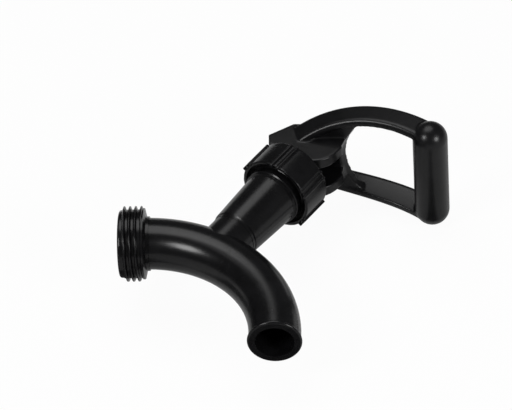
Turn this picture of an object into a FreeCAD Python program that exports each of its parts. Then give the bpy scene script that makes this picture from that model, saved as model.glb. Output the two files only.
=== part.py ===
import FreeCAD, Part
import math
import os
import Sketcher
import types

# A self-closing beverage dispenser faucet, in millimetres. The origin is on the inlet axis, where the
# collar's thread meets its shoulder. +X runs forward along that axis, +Z is up, and it is symmetrical in Y.
# A branch rises from the curved spout and leans forward. Its pieces are drawn upright and laid on that axis.

doc = FreeCAD.newDocument("BeverageFaucet")
sheet = doc.addObject("Spreadsheet::Sheet", "Dimensions")

DIMENSIONS = [
    ("tube_dia", 25.4, "outside of the spout tube"),
    ("tube_bore", 19.0, "waterway through the spout"),
    ("bend_radius", 65.2, "centre line of the quarter bend"),
    ("bend_inset", 0.6, "start of the bend, inside the collar"),
    ("outlet_straight", 4.3, "straight end below the bend"),
    ("outlet_rim_dia", 26.6, "bead round the outlet"),
    ("outlet_rim_height", 2.0, "height of that bead"),
    ("collar_length", 13.5, "whole inlet collar"),
    ("nose_length", 2.3, "plain pilot nose"),
    ("nose_dia", 33.2, "pilot nose"),
    ("thread_root_dia", 33.8, "root of the mounting thread"),
    ("shoulder_length", 1.9, "plain ring behind the thread"),
    ("shoulder_dia", 35.0, "that ring"),
    ("shoulder_slope", 1.0, "how far its back slopes, down to the neck"),
    ("neck_ring_length", 1.4, "small step between collar and tube"),
    ("neck_ring_dia", 26.8, "that step"),
    ("branch_place", 31.0, "degrees along the bend to the branch"),
    ("branch_lean", 33.4, "degrees that the branch leans forward"),
    ("chamber_dia", 20.0, "valve chamber inside the branch"),
    ("seat_hole_dia", 12.0, "hole through the seat web"),
    ("web_thickness", 3.0, "seat web and its two walls"),
    ("seat_lip_height", 1.2, "raised lip round the seat hole"),
    ("seat_lip_width", 1.4, "width of that lip"),
    ("seat_lip_foot", 2.2, "width of its foot"),
    ("neck_dia", 23.8, "branch where it leaves the tube"),
    ("step_height", 18.6, "foot of the barrel above the bend line"),
    ("barrel_foot_dia", 25.2, "barrel at its foot"),
    ("barrel_height", 62.0, "rim of the barrel above the bend line"),
    ("ring_height", 0.9, "height of the small rings on the barrel"),
    ("ring_proud", 0.5, "how far those rings stand out"),
    ("ring_below_nut", 1.4, "upper ring below the nut"),
    ("ring_pitch", 2.0, "lower ring below the upper one"),
    ("nut_thread_dia", 31.8, "barrel thread that carries the nut"),
    ("nut_thread_length", 6.0, "length of that thread"),
    ("nut_thread_height", 1.45, "how far it stands out from the barrel's head"),
    ("bush_socket_dia", 23.0, "counterbore for the guide bush"),
    ("bush_socket_depth", 7.0, "depth of that counterbore"),
    ("nut_height", 17.7, "union nut from lip to top"),
    ("nut_dia", 38.6, "union nut between its ribs"),
    ("nut_rib_dia", 40.6, "union nut over its ribs"),
    ("nut_skirt_wall", 1.8, "wall of the open skirt"),
    ("nut_roof", 5.0, "top of the nut over the bush"),
    ("nut_window_dia", 20.2, "hole in the top of the nut"),
    ("nut_bevel", 1.1, "bevel round the top of the nut"),
    ("rib_width", 1.4, "grip ribs on the nut"),
    ("rib_gap", 2.2, "gap between the two ribs of a pair"),
    ("rib_foot", 1.5, "how far the ribs reach below the skirt"),
    ("rib_pairs", 6.0, "pairs of grip ribs"),
    ("rib_phase", 33.5, "degrees from the front to the first pair, as the nut stands when tight"),
    ("bush_flange_height", 3.0, "flange of the guide bush, clamped by the nut"),
    ("bush_flange_play", 0.2, "from the edge of that flange to the nut's thread"),
    ("stem_dia", 7.0, "sliding stem"),
    ("stem_flat_width", 5.6, "across the two flats of the stem"),
    ("flat_run", 10.5, "how far the flats run below the keyed hole, for the lift"),
    ("ring_section", 1.9, "section of both O-rings"),
    ("fit_gap", 0.05, "running clearance at each side"),
    ("seal_height", 5.0, "soft seat cup"),
    ("seal_dia", 16.8, "soft seat cup"),
    ("seal_bevel", 1.0, "bevel round its foot"),
    ("seal_shoulder", 1.5, "height of its tapered shoulder"),
    ("disc_height", 3.0, "disc of the stem above the cup"),
    ("disc_dia", 16.0, "that disc"),
    ("disc_bevel", 1.0, "its upper edge, and the root of the shank"),
    ("screw_dia", 3.0, "retaining screw"),
    ("screw_head_dia", 6.0, "its head"),
    ("screw_head_height", 1.6, "its head"),
    ("screw_bevel", 0.5, "edge of its head"),
    ("washer_dia", 9.0, "washer under the seat cup"),
    ("washer_height", 0.8, "that washer"),
    ("wire_dia", 1.4, "return spring wire"),
    ("spring_dia", 14.6, "outside of the return spring"),
    ("spring_turns", 7.0, "turns of the return spring"),
    ("pin_dia", 5.0, "pivot pin"),
    ("pin_length", 22.5, "pivot pin"),
    ("pin_hole_spare", 0.2, "blind end of its hole beyond the pin"),
    ("pin_height", 7.0, "pivot axis above the nut"),
    ("eye_dia", 11.0, "eye at the head of the stem"),
    ("eye_side_gap", 0.2, "between the eye and each cheek"),
    ("eye_room", 1.2, "fork slot round the eye"),
    ("cam_gap", 0.1, "cam face above the nut"),
    ("cam_rise", 6.2, "lift of the cam for each radian"),
    ("fork_gap", 13.0, "slot between the cheeks"),
    ("cheek_width", 25.0, "over both cheeks"),
    ("heel_length", 15.8, "sole of the cheek behind the pivot axis"),
    ("heel_tip_back", 19.6, "rearmost point of the cheek"),
    ("heel_tip_below", 1.5, "that point below the pivot axis"),
    ("cheek_slope_back", 13.6, "rear end of the cheek's bevelled top corner"),
    ("cheek_slope_rise", 11.9, "that point above the pivot axis"),
    ("cheek_top_back", 9.9, "front end of that corner"),
    ("cheek_top_rise", 14.0, "that point above the pivot axis"),
    ("cheek_nose", 2.0, "bevel at the front of the cheek's top"),
    ("slot_roof_front", 12.5, "roof of the fork slot at its mouth"),
    ("slot_roof_rise", 15.2, "its highest point"),
    ("slot_roof_back", 3.0, "that point behind the front"),
    ("cam_sweep", 30.0, "degrees of the turn on each of the cam's three arcs"),
    ("arm_radius", 75.0, "arch of the arms, seen from the side"),
    ("arch_forward", 47.2, "centre of that arch ahead of the pivot"),
    ("arch_below", 45.5, "centre of that arch below the pivot"),
    ("arch_start", 138.0, "degrees on that arch: root of the arms, inside the cheeks"),
    ("arch_open", 131.0, "degrees: where they begin to spread"),
    ("arch_finish", 82.4, "degrees: the grip"),
    ("arm_height", 11.3, "arm at its root, along the arch's radius"),
    ("arm_growth", 1.7, "how much deeper the arm is at the grip, all of it below"),
    ("arm_width", 6.7, "arm, across"),
    ("arm_top_round", 1.4, "upper edges of the arm"),
    ("arm_foot_round", 2.2, "lower outer edge of the arm"),
    ("arm_foot_width", 4.0, "arm at its underside; the inner face slants"),
    ("arm_inner_drop", 2.5, "upright part of the inner face, from the top"),
    ("arm_spread", 25.4, "arm from the mid-plane at the grip"),
    ("arm_flare", 11.2, "how far the arms spread from the root"),
    ("deck_thickness", 3.6, "web between the arms"),
    ("deck_inset", 0.8, "underside of the web above that of the arms"),
    ("deck_back", 4.0, "start of the web behind the pivot axis"),
    ("deck_flank_back", 5.0, "where its flanks leave the cheeks"),
    ("deck_knee", 5.0, "knee of its flanks ahead of the pivot axis"),
    ("deck_knee_width", 39.0, "over both flanks at the knee"),
    ("deck_front_width", 46.6, "over both flanks in front"),
    ("notch_depth", 4.4, "bite in the front of the web"),
    ("notch_width", 31.0, "that bite, where it reaches the front line"),
    ("notch_corner", 10.5, "its rounding into the arms"),
    ("notch_corner_run", 6.5, "how far that rounding runs forward"),
    ("grip_dia", 17.4, "grip bar"),
    ("grip_length", 64.0, "grip bar over its round ends"),
    ("beyond", 40.0, "reach of a cut that has to clear the whole piece"),
    ("over", 1.0, "how far a cut runs past a face"),
]


class Size:
    """A length that knows both its number and the spreadsheet formula that it comes from."""

    def __init__(self, number, formula):
        self.number = float(number)
        self.formula = str(formula)

    def joined(self, sign, other, result):
        return Size(result, "(%s %s %s)" % (self.formula, sign, other.formula))

    def __add__(self, other):
        other = as_size(other)
        return self.joined("+", other, self.number + other.number)

    def __sub__(self, other):
        other = as_size(other)
        return self.joined("-", other, self.number - other.number)

    def __mul__(self, other):
        other = as_size(other)
        return self.joined("*", other, self.number * other.number)

    def __truediv__(self, other):
        other = as_size(other)
        return self.joined("/", other, self.number / other.number)

    def __neg__(self):
        return Size(-self.number, "(-1 * %s)" % self.formula)

    def __radd__(self, other):
        return as_size(other) + self

    def __rsub__(self, other):
        return as_size(other) - self

    def __rmul__(self, other):
        return as_size(other) * self


def as_size(value):
    return value if isinstance(value, Size) else Size(value, repr(float(value)))


def sine(degrees):
    return Size(math.sin(math.radians(degrees.number)), "sin(%s * 1deg)" % degrees.formula)


def cosine(degrees):
    return Size(math.cos(math.radians(degrees.number)), "cos(%s * 1deg)" % degrees.formula)


def turned(point, degrees):
    """A point of a drawing, turned to the left round the drawing's origin."""
    across, up = [as_size(value) for value in point]
    return (across * cosine(degrees) - up * sine(degrees), across * sine(degrees) + up * cosine(degrees))


def root(value):
    return Size(math.sqrt(value.number), "sqrt(%s)" % value.formula)


def fill_sheet():
    """Writes the driving dimensions and returns them by name."""
    sizes = {}
    for row, (alias, value, note) in enumerate(DIMENSIONS, start=1):
        sheet.set("A%d" % row, alias)
        sheet.set("B%d" % row, str(value))
        sheet.set("C%d" % row, note)
        sheet.setAlias("B%d" % row, alias)
        sizes[alias] = Size(value, "Dimensions." + alias)
    doc.recompute()
    return types.SimpleNamespace(**sizes)


def bind(thing, **formulas):
    """Sets properties and ties each to its formula; a double underscore stands for a dot."""
    for name, size in formulas.items():
        thing.setExpression(name.replace("__", "."), as_size(size).formula)


def outline(sketch, corners):
    """Draws a closed outline. A corner is (across, up), or (across, up, radius) where an arc leaves it:
    a positive radius turns left, a negative one right."""
    count = len(corners)
    first = sketch.GeometryCount
    ends = []
    for number in range(count):
        here = [as_size(value) for value in corners[number]]
        there = [as_size(value) for value in corners[(number + 1) % count]]
        start = FreeCAD.Vector(here[0].number, here[1].number, 0)
        finish = FreeCAD.Vector(there[0].number, there[1].number, 0)
        if len(here) == 2:
            sketch.addGeometry(Part.LineSegment(start, finish), False)
            ends.append((1, 2))
            continue
        radius = abs(here[2].number)
        chord = finish - start
        reach = math.sqrt(max(radius ** 2 - (chord.Length / 2) ** 2, 0.0))
        left = FreeCAD.Vector(-chord.y, chord.x, 0).normalize()
        turn = 1 if here[2].number > 0 else -1
        centre = (start + finish) / 2 + left * (reach * turn)
        begin, stop = (start, finish) if turn > 0 else (finish, start)
        angles = [math.atan2(point.y - centre.y, point.x - centre.x) for point in (begin, stop)]
        if angles[1] < angles[0]:
            angles[1] += 2 * math.pi
        circle = Part.Circle(centre, FreeCAD.Vector(0, 0, 1), radius)
        sketch.addGeometry(Part.ArcOfCircle(circle, angles[0], angles[1]), False)
        ends.append((1, 2) if turn > 0 else (2, 1))
    for number in range(count):
        edge = first + number
        previous = first + (number - 1) % count
        corner = [as_size(value) for value in corners[number]]
        start = ends[number][0]
        sketch.addConstraint(Sketcher.Constraint("Coincident", previous, ends[number - 1][1], edge, start))
        limits = [("across", "DistanceX", corner[0]), ("up", "DistanceY", corner[1])]
        for word, kind, size in limits:
            rule = sketch.addConstraint(Sketcher.Constraint(kind, -1, 1, edge, start, size.number))
            name = "%s%d" % (word, edge)
            sketch.renameConstraint(rule, name)
            sketch.setExpression("Constraints." + name, size.formula)
        if len(corner) == 3:
            size = corner[2] if corner[2].number > 0 else -corner[2]
            rule = sketch.addConstraint(Sketcher.Constraint("Radius", edge, size.number))
            sketch.renameConstraint(rule, "radius%d" % edge)
            sketch.setExpression("Constraints.radius%d" % edge, size.formula)


def mirrored(corners):
    """The same outline on the other side of the drawing's upright axis."""
    flipped = []
    for number in range(len(corners), 0, -1):
        across, up = corners[number % len(corners)][:2]
        flipped.append((-across, up, *corners[number - 1][2:]))
    return flipped


def origin_plane(body, role):
    return [feature for feature in body.Origin.OriginFeatures if feature.Role == role][0]


def new_body(label):
    body = doc.addObject("PartDesign::Body", label)
    body.Label = label
    return body


def new_sketch(body, label, role, *outlines):
    """A sketch on one of the body's own planes, with closed outlines."""
    sketch = body.newObject("Sketcher::SketchObject", label)
    sketch.AttachmentSupport = [(origin_plane(body, role), "")]
    sketch.MapMode = "FlatFace"
    for corners in outlines:
        outline(sketch, corners)
    return sketch


def turn(body, label, corners, kind="Revolution"):
    """Revolves a half section (radius, height) round the body's upright axis."""
    sketch = new_sketch(body, label + "_section", "XZ_Plane", corners)
    feature = body.newObject("PartDesign::" + kind, label)
    feature.Profile = sketch
    feature.ReferenceAxis = (sketch, ["V_Axis"])
    feature.Angle = 360
    sketch.Visibility = False
    return feature


def pad_across(body, label, corners, width, kind="Pad"):
    """Pads or pockets a side outline, equally to both sides of the mid-plane."""
    sketch = new_sketch(body, label + "_outline", "XZ_Plane", corners)
    feature = body.newObject("PartDesign::" + kind, label)
    feature.Profile = sketch
    feature.SideType = "Symmetric"
    bind(feature, Length=width)
    return feature


def lay_on_branch(thing, height):
    """Stands a piece on the branch axis, that far above the bend's centre line."""
    place_x = junction_x + height * sine(dim.branch_lean)
    place_z = junction_z + height * cosine(dim.branch_lean)
    upright = FreeCAD.Rotation(FreeCAD.Vector(0, 1, 0), dim.branch_lean.number)
    thing.Placement = FreeCAD.Placement(FreeCAD.Vector(place_x.number, 0, place_z.number), upright)
    bind(thing, Placement__Base__x=place_x, Placement__Base__z=place_z,
         Placement__Rotation__Angle=dim.branch_lean)


def lay_on_inlet(thing, start):
    """Lays an upright piece along the inlet axis, its foot at start and its top towards the nose."""
    thing.Placement.Rotation = FreeCAD.Rotation(FreeCAD.Vector(0, 1, 0), -90)
    bind(thing, Placement__Base__x=start)


def cylinder(label, diameter, height):
    solid = doc.addObject("Part::Cylinder", label)
    bind(solid, Radius=diameter / 2, Height=height)
    return solid


def fuse(label, things):
    joined = doc.addObject("Part::MultiFuse", label)
    joined.Shapes = things
    return joined


def cut(label, base, tool):
    remaining = doc.addObject("Part::Cut", label)
    remaining.Base = base
    remaining.Tool = tool
    return remaining


dim = fill_sheet()

# From the foot of the thread, over the shoulder, to the back of the collar; the bend starts a little before.
shoulder_bevel = (dim.shoulder_dia - dim.thread_root_dia) / 2
collar_back = dim.shoulder_length + shoulder_bevel
bend_start = collar_back - dim.bend_inset

# Where the branch axis crosses the bend's centre line.
junction_x = bend_start + dim.bend_radius * sine(dim.branch_place)
junction_z = dim.bend_radius * cosine(dim.branch_place) - dim.bend_radius

# Heights along the branch axis, from that crossing.
web_top = dim.web_thickness / 2
lip_top = web_top + dim.seat_lip_height
cup_top = lip_top + dim.seal_height
disc_top = cup_top + dim.disc_height
socket_floor = dim.barrel_height - dim.bush_socket_depth
flange_top = dim.barrel_height + dim.bush_flange_height
nut_top = flange_top + dim.nut_roof
nut_foot = nut_top - dim.nut_height
pivot = nut_top + dim.pin_height


def bend(label, diameter):
    """A quarter of a ring, from the inlet's axis down to the outlet's."""
    ring = doc.addObject("Part::Torus", label)
    ring.Angle3 = 90
    bind(ring, Radius1=dim.bend_radius, Radius2=diameter / 2)
    ring.Placement = FreeCAD.Placement(FreeCAD.Vector(bend_start.number, 0, -dim.bend_radius.number),
                                       FreeCAD.Rotation(FreeCAD.Vector(1, 0, 0), 90))
    bind(ring, Placement__Base__x=bend_start, Placement__Base__z=-dim.bend_radius)
    return ring


def inlet_collar():
    """The collar, turned upright and laid along -X: shoulder, thread root, rounded nose."""
    nose_round = dim.nose_length / 2
    collar = new_body("collar")
    turn(collar, "collar_turning", [
        (0, -dim.neck_ring_length),
        (dim.neck_ring_dia / 2, -dim.neck_ring_length),
        (dim.neck_ring_dia / 2, 0),
        (dim.shoulder_dia / 2, dim.shoulder_slope),
        (dim.shoulder_dia / 2, dim.shoulder_length),
        (dim.thread_root_dia / 2, dim.shoulder_length + shoulder_bevel),
        (dim.thread_root_dia / 2, dim.collar_length - dim.nose_length),
        (dim.nose_dia / 2, dim.collar_length - dim.nose_length),
        (dim.nose_dia / 2, dim.collar_length - nose_round, nose_round),
        (dim.nose_dia / 2 - nose_round, dim.collar_length),
        (0, dim.collar_length),
    ])
    lay_on_inlet(collar, collar_back)
    return collar


def outlet_mouth():
    """The straight end of the spout with its rounded bead."""
    mouth = new_body("mouth")
    rim = dim.outlet_rim_height / 2
    turn(mouth, "mouth_turning", [
        (0, 0),
        (dim.outlet_rim_dia / 2 - rim, 0, rim),
        (dim.outlet_rim_dia / 2, rim, rim),
        (dim.outlet_rim_dia / 2 - rim, dim.outlet_rim_height),
        (dim.tube_dia / 2, dim.outlet_rim_height),
        (dim.tube_dia / 2, dim.outlet_straight),
        (0, dim.outlet_straight),
    ])
    foot = -dim.bend_radius - dim.outlet_straight
    bind(mouth, Placement__Base__x=bend_start + dim.bend_radius, Placement__Base__z=foot)
    return mouth


def branch_barrel():
    """The branch: a neck, a stepped foot, a widening barrel with two rings, and the thread for the nut."""
    foot = dim.barrel_foot_dia / 2
    head = dim.nut_thread_dia / 2 - dim.nut_thread_height
    step = dim.ring_height
    high_ring = nut_foot - dim.ring_below_nut
    low_ring = high_ring - dim.ring_pitch
    thread_foot = dim.barrel_height - dim.nut_thread_length
    barrel = new_body("barrel")
    turn(barrel, "barrel_turning", [
        (0, 0),
        (dim.neck_dia / 2, 0),
        (dim.neck_dia / 2, dim.step_height - 2 * step),
        (foot - dim.ring_proud, dim.step_height - 2 * step),
        (foot - dim.ring_proud, dim.step_height - step / 2),
        (foot, dim.step_height),
        (head - dim.ring_proud / 2, low_ring - dim.ring_height),
        (head + dim.ring_proud, low_ring - dim.ring_height / 2),
        (head + dim.ring_proud, low_ring),
        (head, low_ring + dim.ring_height / 2),
        (head, high_ring - dim.ring_height),
        (head + dim.ring_proud, high_ring - dim.ring_height / 2),
        (head + dim.ring_proud, high_ring),
        (head, high_ring + dim.ring_height / 2),
        (head, thread_foot - (dim.nut_thread_dia / 2 - head)),
        (dim.nut_thread_dia / 2, thread_foot),
        (dim.nut_thread_dia / 2, dim.barrel_height),
        (0, dim.barrel_height),
    ])
    lay_on_branch(barrel, Size(0, "0"))
    return barrel


def valve_chamber():
    """The space inside the branch, from the seat web up to the rim."""
    chamber = new_body("chamber")
    turn(chamber, "chamber_turning", [
        (0, web_top),
        (dim.chamber_dia / 2, web_top),
        (dim.chamber_dia / 2, socket_floor),
        (dim.bush_socket_dia / 2, socket_floor),
        (dim.bush_socket_dia / 2, dim.barrel_height + dim.over),
        (0, dim.barrel_height + dim.over),
    ])
    lay_on_branch(chamber, Size(0, "0"))
    return chamber


def seat_web():
    """The stepped partition: down from the roof, across the tube under the chamber, down to the floor."""
    near = dim.chamber_dia / 2
    far = near + dim.web_thickness
    roof = dim.tube_dia / 2 + dim.over
    under = web_top - dim.web_thickness
    web = new_body("web")
    pad_across(web, "web_pad", [
        (-far, roof), (-far, under), (near, under), (near, -roof),
        (far, -roof), (far, web_top), (-near, web_top), (-near, roof),
    ], dim.tube_dia)
    lay_on_branch(web, Size(0, "0"))
    trimmed = doc.addObject("Part::Common", "web_in_tube")
    trimmed.Base = web
    trimmed.Tool = bend("web_trim", (dim.tube_dia + dim.tube_bore) / 2)
    return trimmed


def seat_lip():
    lip = new_body("seat_lip")
    turn(lip, "lip_turning", [
        (dim.seat_hole_dia / 2, 0),
        (dim.seat_hole_dia / 2 + dim.seat_lip_foot, 0),
        (dim.seat_hole_dia / 2 + dim.seat_lip_width, dim.web_thickness / 2 + dim.seat_lip_height),
        (dim.seat_hole_dia / 2, dim.web_thickness / 2 + dim.seat_lip_height),
    ])
    lay_on_branch(lip, Size(0, "0"))
    return lip


def make_spout_body():
    outside = fuse("spout_outside", [bend("bend_outside", dim.tube_dia), inlet_collar(), outlet_mouth(),
                                     branch_barrel()])
    inlet = cylinder("inlet_bore", dim.tube_bore, dim.collar_length + dim.over)
    lay_on_inlet(inlet, bend_start)
    outlet = cylinder("outlet_bore", dim.tube_bore, dim.outlet_straight + dim.over)
    outlet.Placement.Rotation = FreeCAD.Rotation(FreeCAD.Vector(0, 1, 0), 180)
    bind(outlet, Placement__Base__x=bend_start + dim.bend_radius, Placement__Base__z=-dim.bend_radius)
    spaces = fuse("spout_spaces", [bend("bend_bore", dim.tube_bore), inlet, outlet, valve_chamber()])
    hollow = cut("spout_hollow", outside, spaces)
    walled = fuse("spout_walled", [hollow, seat_web(), seat_lip()])
    seat_hole = cylinder("seat_hole", dim.seat_hole_dia, 2 * dim.web_thickness)
    lay_on_branch(seat_hole, -dim.web_thickness)
    return cut("spout_body", walled, seat_hole)


def make_bonnet_nut():
    """A union nut: open skirt, thread that grips the barrel, a window for the bush, ribs in pairs."""
    skirt = dim.nut_dia / 2 - dim.nut_skirt_wall
    grip = dim.nut_thread_dia / 2 + dim.fit_gap
    skirt_top = dim.nut_height - dim.nut_roof - dim.bush_flange_height - dim.nut_thread_length
    nut = new_body("bonnet_nut")
    turn(nut, "nut_turning", [
        (skirt, 0),
        (dim.nut_dia / 2, 0),
        (dim.nut_dia / 2, dim.nut_height - dim.nut_bevel),
        (dim.nut_dia / 2 - dim.nut_bevel, dim.nut_height),
        (dim.nut_window_dia / 2, dim.nut_height),
        (dim.nut_window_dia / 2, dim.nut_height - dim.nut_roof),
        (grip, dim.nut_height - dim.nut_roof),
        (grip, skirt_top),
        (skirt, skirt_top - (skirt - grip)),
    ])
    near = dim.rib_gap / 2
    far = near + dim.rib_width
    root_reach = dim.nut_dia / 2 - dim.nut_skirt_wall / 2
    crest_reach = dim.nut_rib_dia / 2
    outlines = []
    for low, high in ((near, far), (-far, -near)):
        outlines.append([turned(corner, dim.rib_phase) for corner in (
            (root_reach, low), (crest_reach, low), (crest_reach, high), (root_reach, high))])
    ribs = new_sketch(nut, "rib_outline", "XY_Plane", *outlines)
    bind(ribs, AttachmentOffset__Base__z=-dim.rib_foot)
    rib = nut.newObject("PartDesign::Pad", "rib_pair")
    rib.Profile = ribs
    bind(rib, Length=dim.nut_height - dim.nut_bevel + dim.rib_foot)
    doc.recompute()
    around = nut.newObject("PartDesign::PolarPattern", "ribs_around")
    around.Originals = [rib]
    around.Axis = (ribs, ["N_Axis"])
    around.Angle = 360
    bind(around, Occurrences=dim.rib_pairs)
    nut.Tip = around
    lay_on_branch(nut, nut_foot)
    return nut


def make_guide_bush():
    """The bonnet: flange under the nut, plug in the barrel, grooves for both O-rings, keyed stem hole."""
    groove = dim.ring_section + 2 * dim.fit_gap
    plug = dim.bush_socket_dia / 2 - dim.fit_gap
    bore = dim.stem_dia / 2 + dim.fit_gap
    hub = dim.nut_window_dia / 2 - dim.fit_gap
    flange = dim.nut_thread_dia / 2 - dim.bush_flange_play
    deep = plug - dim.ring_section
    wide = bore + dim.ring_section
    low = dim.bush_socket_depth / 2 - groove / 2
    high = dim.bush_socket_depth / 2 + groove / 2
    flange_foot = dim.bush_socket_depth
    hub_foot = dim.bush_socket_depth + dim.bush_flange_height
    top = hub_foot + dim.nut_roof
    bush = new_body("guide_bush")
    turn(bush, "bush_turning", [
        (bore, 0), (plug, 0), (plug, low), (deep, low), (deep, high), (plug, high),
        (plug, flange_foot), (flange, flange_foot), (flange, hub_foot),
        (hub, hub_foot), (hub, top), (bore, top),
        (bore, high), (wide, high), (wide, low), (bore, low),
    ])
    flat = dim.stem_flat_width / 2 + dim.fit_gap
    reach = bore + dim.fit_gap
    for side, word in ((1, "left"), (-1, "right")):
        key = new_sketch(bush, "key_outline_" + word, "XY_Plane",
                         [(-reach, side * flat), (reach, side * flat), (reach, side * reach),
                          (-reach, side * reach)])
        bind(key, AttachmentOffset__Base__z=hub_foot)
        pad = bush.newObject("PartDesign::Pad", "key_" + word)
        pad.Profile = key
        bind(pad, Length=dim.nut_roof)
    lay_on_branch(bush, socket_floor)
    return bush


def make_o_ring(label, middle_radius, height):
    ring = doc.addObject("Part::Torus", label)
    bind(ring, Radius1=middle_radius, Radius2=dim.ring_section / 2 - dim.fit_gap / 2)
    lay_on_branch(ring, height)
    return ring


def make_stem():
    """Disc, round shank, flatted shank through the keyed hole, and the eye for the pivot pin."""
    shank = dim.stem_dia / 2
    length = pivot - cup_top
    stem = new_body("stem")
    turn(stem, "stem_turning", [
        (dim.screw_dia / 2, -dim.seal_height), (shank, -dim.seal_height), (shank, 0), (dim.disc_dia / 2, 0),
        (dim.disc_dia / 2, dim.disc_height / 2), (dim.disc_dia / 2 - dim.disc_bevel, dim.disc_height),
        (shank + dim.disc_bevel, dim.disc_height), (shank, dim.disc_height + dim.disc_bevel),
        (shank, length), (0, length), (0, dim.disc_height), (dim.screw_dia / 2, dim.disc_height),
    ])
    flat = dim.stem_flat_width / 2
    low = flange_top - cup_top - dim.flat_run
    for side, word in ((1, "left"), (-1, "right")):
        sketch = new_sketch(stem, "flat_outline_" + word, "YZ_Plane",
                            [(side * flat, low), (side * dim.stem_dia, low),
                             (side * dim.stem_dia, length + dim.over), (side * flat, length + dim.over)])
        pocket = stem.newObject("PartDesign::Pocket", "flat_" + word)
        pocket.Profile = sketch
        pocket.SideType = "Symmetric"
        bind(pocket, Length=2 * dim.stem_dia)
    eye = new_sketch(stem, "eye_outline", "XZ_Plane")
    eye.addGeometry(Part.Circle(FreeCAD.Vector(0, length.number, 0), FreeCAD.Vector(0, 0, 1),
                                dim.eye_dia.number / 2), False)
    round_on_axis(eye, 0, dim.eye_dia, length)
    pad = stem.newObject("PartDesign::Pad", "eye")
    pad.Profile = eye
    pad.SideType = "Symmetric"
    bind(pad, Length=dim.fork_gap - 2 * dim.eye_side_gap)
    hole = new_sketch(stem, "eye_hole_outline", "XZ_Plane")
    hole.addGeometry(Part.Circle(FreeCAD.Vector(0, length.number, 0), FreeCAD.Vector(0, 0, 1),
                                 dim.pin_dia.number / 2 + dim.fit_gap.number), False)
    round_on_axis(hole, 0, dim.pin_dia + 2 * dim.fit_gap, length)
    pocket = stem.newObject("PartDesign::Pocket", "eye_hole")
    pocket.Profile = hole
    pocket.SideType = "Symmetric"
    bind(pocket, Length=2 * dim.fork_gap)
    lay_on_branch(stem, cup_top)
    return stem


def round_on_axis(sketch, edge, diameter, height):
    """Fixes a circle of a sketch on the upright axis at that height."""
    sketch.addConstraint(Sketcher.Constraint("PointOnObject", edge, 3, -2))
    rule = sketch.addConstraint(Sketcher.Constraint("DistanceY", -1, 1, edge, 3, height.number))
    sketch.renameConstraint(rule, "height")
    sketch.setExpression("Constraints.height", height.formula)
    rule = sketch.addConstraint(Sketcher.Constraint("Diameter", edge, diameter.number))
    sketch.renameConstraint(rule, "diameter")
    sketch.setExpression("Constraints.diameter", diameter.formula)


def make_seat_cup():
    """The soft cup on the stem's spigot, with a turned-down lip round its edge."""
    hole = dim.stem_dia / 2 + dim.fit_gap
    edge = dim.seal_dia / 2
    cup = new_body("seat_cup")
    turn(cup, "cup_turning", [
        (hole, 0), (edge - dim.seal_bevel, 0), (edge, dim.seal_bevel),
        (edge, dim.seal_height - dim.seal_shoulder), (dim.disc_dia / 2, dim.seal_height),
        (hole, dim.seal_height),
    ])
    lay_on_branch(cup, lip_top)
    return cup


def make_seat_washer():
    hole = dim.screw_dia / 2 + dim.fit_gap
    washer = new_body("seat_washer")
    turn(washer, "washer_turning", [
        (hole, 0), (dim.washer_dia / 2, 0),
        (dim.washer_dia / 2, dim.washer_height), (hole, dim.washer_height),
    ])
    lay_on_branch(washer, lip_top - dim.washer_height)
    return washer


def make_seat_screw():
    screw = new_body("seat_screw")
    shank = dim.seal_height + dim.disc_height - 2 * dim.fit_gap
    turn(screw, "screw_turning", [
        (0, 0), (dim.screw_head_dia / 2 - dim.screw_bevel, 0), (dim.screw_head_dia / 2, dim.screw_bevel),
        (dim.screw_head_dia / 2, dim.screw_head_height), (dim.screw_dia / 2, dim.screw_head_height),
        (dim.screw_dia / 2, dim.screw_head_height + dim.washer_height + shank),
        (0, dim.screw_head_height + dim.washer_height + shank),
    ])
    lay_on_branch(screw, lip_top - dim.washer_height - dim.screw_head_height)
    return screw


def make_return_spring():
    """Round wire wound between the stem's disc and the bush."""
    span = socket_floor - disc_top - dim.wire_dia
    spring = new_body("return_spring")
    wire = new_sketch(spring, "wire_outline", "XZ_Plane")
    middle = (dim.spring_dia - dim.wire_dia) / 2
    wire.addGeometry(Part.Circle(FreeCAD.Vector(middle.number, dim.wire_dia.number / 2, 0),
                                 FreeCAD.Vector(0, 0, 1), dim.wire_dia.number / 2), False)
    for name, kind, size in (("across", "DistanceX", middle), ("up", "DistanceY", dim.wire_dia / 2)):
        rule = wire.addConstraint(Sketcher.Constraint(kind, -1, 1, 0, 3, size.number))
        wire.renameConstraint(rule, name)
        wire.setExpression("Constraints." + name, size.formula)
    rule = wire.addConstraint(Sketcher.Constraint("Diameter", 0, dim.wire_dia.number))
    wire.renameConstraint(rule, "wire")
    wire.setExpression("Constraints.wire", dim.wire_dia.formula)
    coil = spring.newObject("PartDesign::AdditiveHelix", "coil")
    coil.Profile = wire
    coil.ReferenceAxis = (wire, ["V_Axis"])
    coil.Mode = 0
    coil.Angle = 0
    bind(coil, Height=span, Pitch=span / dim.spring_turns)
    lay_on_branch(spring, disc_top)
    return spring


def make_pivot_pin():
    """A plain pin across the fork, pushed in from the far cheek."""
    pin = new_body("pivot_pin")
    edge = dim.pin_dia / 2
    bevel = dim.pin_dia / 10
    turn(pin, "pin_turning", [
        (0, 0), (edge - bevel, 0), (edge, bevel), (edge, dim.pin_length - bevel),
        (edge - bevel, dim.pin_length), (0, dim.pin_length),
    ])
    start = dim.cheek_width / 2 - dim.pin_length - dim.fit_gap
    place_x = junction_x + pivot * sine(dim.branch_lean)
    place_z = junction_z + pivot * cosine(dim.branch_lean)
    pin.Placement = FreeCAD.Placement(FreeCAD.Vector(place_x.number, start.number, place_z.number),
                                      FreeCAD.Rotation(FreeCAD.Vector(1, 0, 0), -90))
    bind(pin, Placement__Base__x=place_x, Placement__Base__y=start, Placement__Base__z=place_z)
    return pin


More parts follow.
